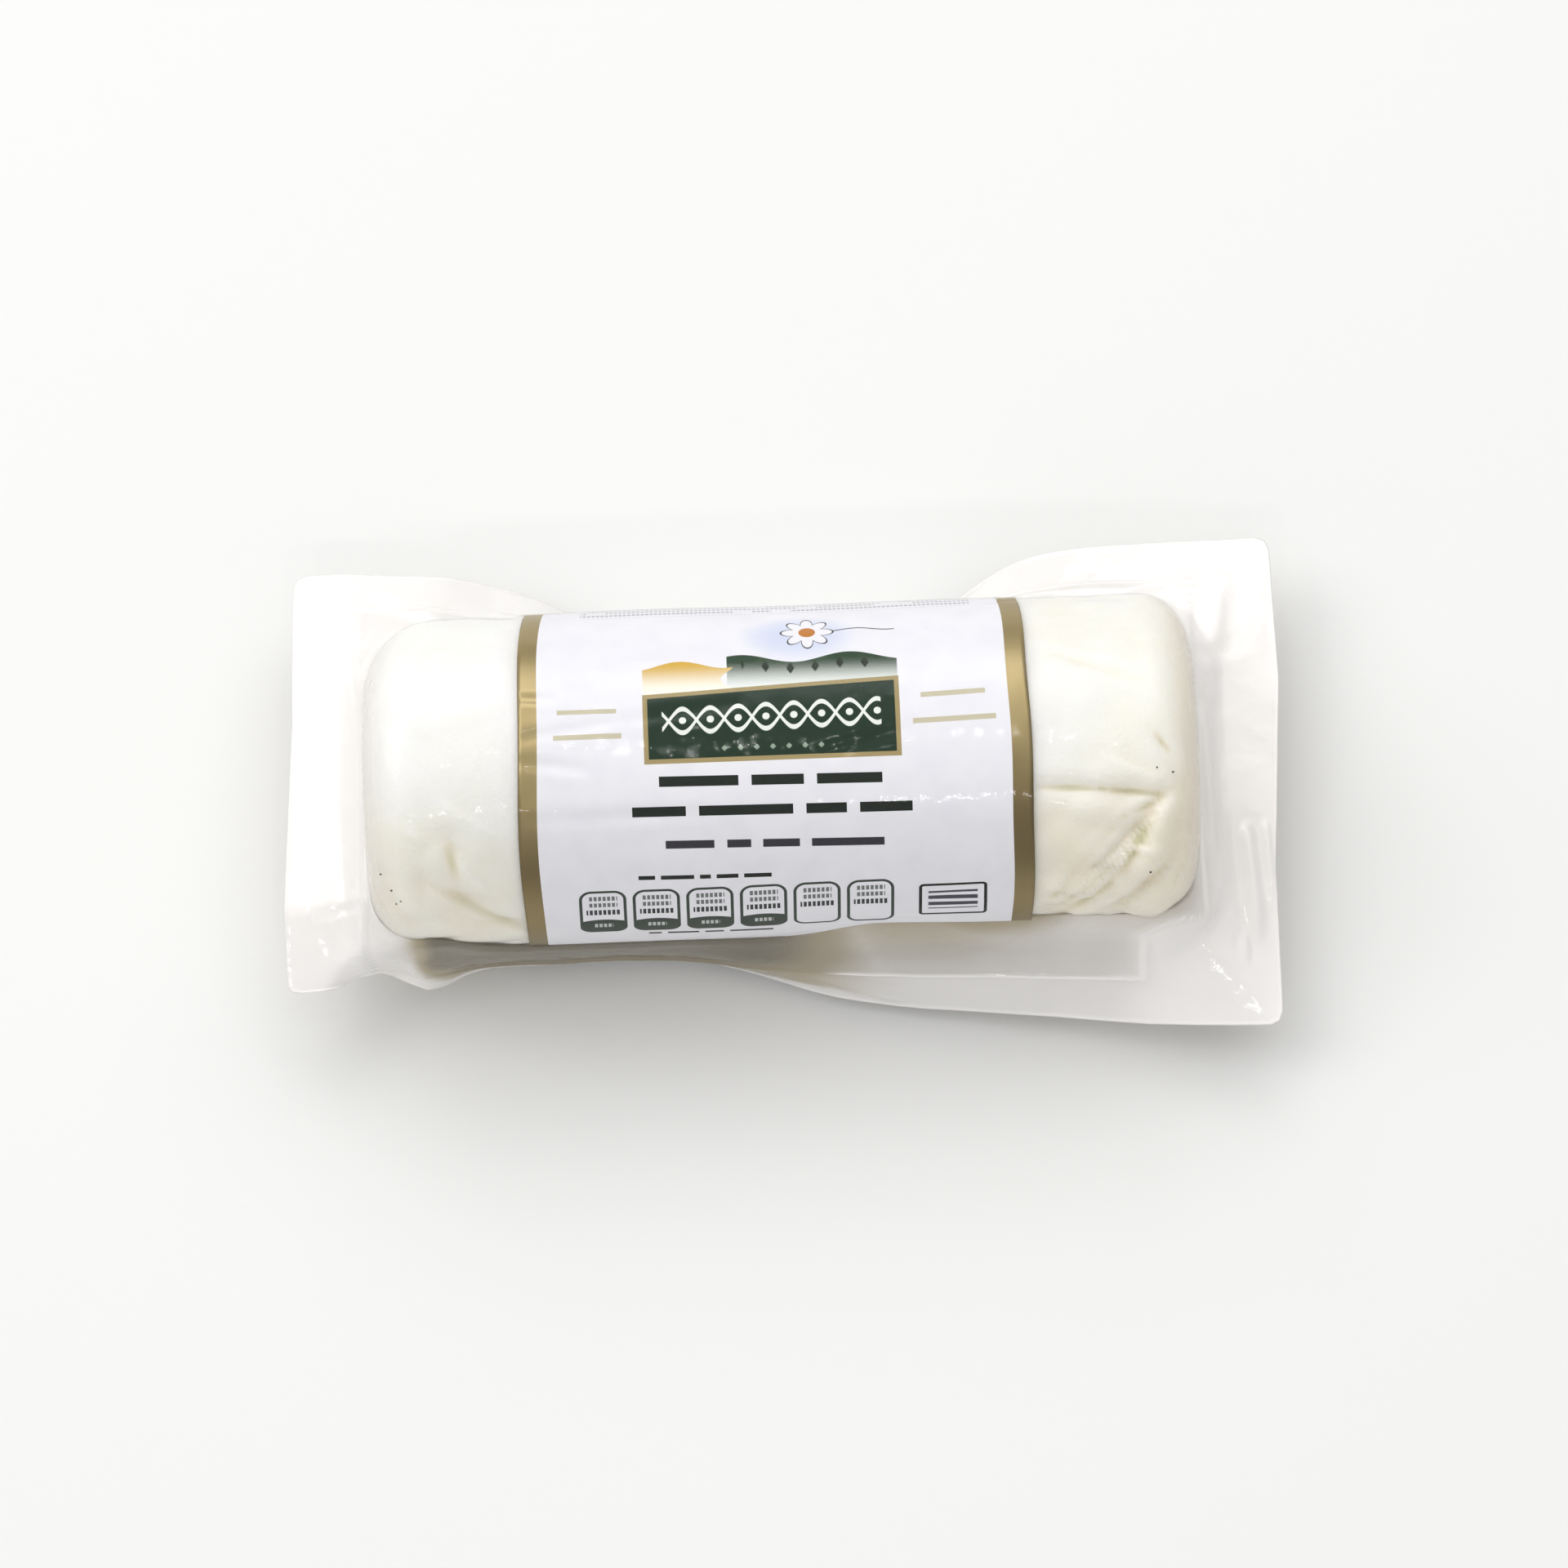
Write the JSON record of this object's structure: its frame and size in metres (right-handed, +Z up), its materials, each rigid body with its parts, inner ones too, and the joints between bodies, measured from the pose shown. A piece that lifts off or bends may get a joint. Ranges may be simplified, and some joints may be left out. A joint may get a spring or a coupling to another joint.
{
  "type": "vacuum-packed fresh goat cheese log",
  "caption": "Fresh goat cheese log with rounded ends, a paper band round its middle, sealed in a clear vacuum pouch with a flat wavy film flange all round.",
  "frame": {"origin": "under the middle of the pouch, on the surface that the log rests on", "axes": "+X runs along the log and +Z is up. The label's shown side faces up and towards -Y"},
  "size_m": [0.138, 0.073, 0.0454],
  "materials": {
    "cheese": "soft white fresh cheese, faintly moist and creased",
    "paper": "smooth white paper with plain printed fields and gold edge bands",
    "film": "clear glossy film, slightly milky where the two layers are sealed"
  },
  "bodies": {
    "root": {"cheese_log": "cheese", "label_band": "paper", "pouch_film": "film"}
  },
  "joints": []
}
